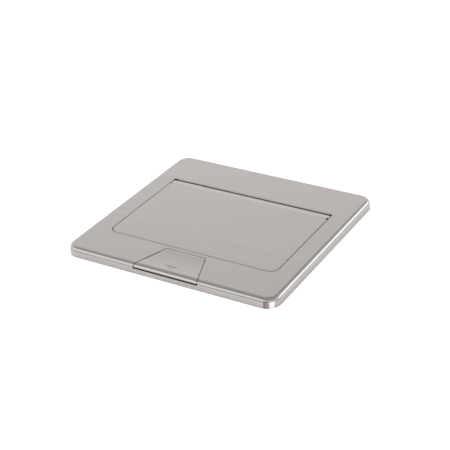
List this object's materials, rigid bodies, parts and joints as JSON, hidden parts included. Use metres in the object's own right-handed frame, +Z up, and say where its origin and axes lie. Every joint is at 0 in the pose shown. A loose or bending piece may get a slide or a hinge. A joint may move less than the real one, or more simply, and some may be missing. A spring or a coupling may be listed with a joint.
{
  "type": "desk grommet",
  "caption": "Square flush desk outlet with a brushed steel cover, a slide latch and a sprung damped lid that lifts a row of power and data inserts out of a box clamped in the desk.",
  "frame": {"origin": "middle of the square cover, in the plane of the desk's top (the underside of the cover's rim)", "axes": "+X to the right of a person facing the latch, +Y from the latch towards the lid's hinge, +Z up out of the desk"},
  "size_m": [0.1486, 0.13, 0.0676],
  "materials": {
    "cover_steel": "fine brushed",
    "zinc_plate": "zinc plated",
    "bright_steel": "plain bright",
    "grey_paint": "satin powder coat",
    "white_plastic": "smooth",
    "dark_plastic": "fine matt",
    "pale_plastic": "moulded",
    "black_rubber": "matt",
    "brass": "plain"
  },
  "bodies": {
    "cover": {"cover_frame": "cover_steel", "hinge_frame": "zinc_plate", "rear_bracket": "zinc_plate", "latch_guide": "zinc_plate", "hinge_rod": "bright_steel", "cover_nuts": "bright_steel", "damper_screws": "bright_steel", "bracket_screws": "bright_steel", "guide_screws": "bright_steel", "box_screws": "bright_steel", "spring_left": "bright_steel", "spring_right": "bright_steel", "latch_springs": "bright_steel", "installation_box": "grey_paint", "damper_body": "dark_plastic", "desk_gasket": "black_rubber", "lid_bumpers": "black_rubber", "cable_grommet": "black_rubber", "entry_plugs": "black_rubber", "earth_terminal": "brass"},
    "lid": {"lid_panel": "cover_steel", "lid_carrier": "zinc_plate", "lid_screws": "bright_steel", "module_frame": "grey_paint", "frame_screws": "bright_steel", "latch_keeper": "zinc_plate", "keeper_screws": "bright_steel", "toothed_sector": "pale_plastic", "sector_screws": "bright_steel", "socket_insert": "white_plastic", "socket_earth_clips": "brass", "socket_terminals": "dark_plastic", "charger_insert": "white_plastic", "charger_tongues": "dark_plastic", "data_insert": "white_plastic", "data_contacts": "brass"},
    "damper": {"damper_pinion": "pale_plastic"},
    "latch": {"latch_slide": "cover_steel", "latch_bolt": "zinc_plate", "latch_screws": "bright_steel"},
    "claw_left": {"clamp_claw_left": "zinc_plate", "clamp_screw_left": "dark_plastic", "clamp_nut_left": "zinc_plate"},
    "claw_right": {"clamp_claw_right": "zinc_plate", "clamp_screw_right": "dark_plastic", "clamp_nut_right": "zinc_plate"}
  },
  "joints": [
    {"name": "lid_hinge", "type": "hinge", "parent": "cover", "child": "lid", "pos_m": [0, 0.0277, -0.0004], "axis": [-1, 0, 0], "range_deg": [0, 50], "deforming": ["spring_left", "spring_right"]},
    {"name": "damper_spin", "type": "hinge", "parent": "cover", "child": "damper", "pos_m": [0.046, 0.03093, -0.01872], "axis": [-1, 0, 0], "range_deg": [-172, 0]},
    {"name": "latch_pull", "type": "slide", "parent": "cover", "child": "latch", "axis": [0, -1, 0], "range_m": [0, 0.0032], "stiffness_N_per_m": 200, "deforming": ["latch_springs"]},
    {"name": "claw_left_slide", "type": "slide", "parent": "cover", "child": "claw_left", "axis": [0, 0, 1], "range_m": [-0.015, 0.007]},
    {"name": "claw_right_slide", "type": "slide", "parent": "cover", "child": "claw_right", "axis": [0, 0, 1], "range_m": [-0.015, 0.007]}
  ],
  "couplings": [
    {"joint": "damper_spin", "follows": "lid_hinge", "ratio": -3.4286}
  ]
}
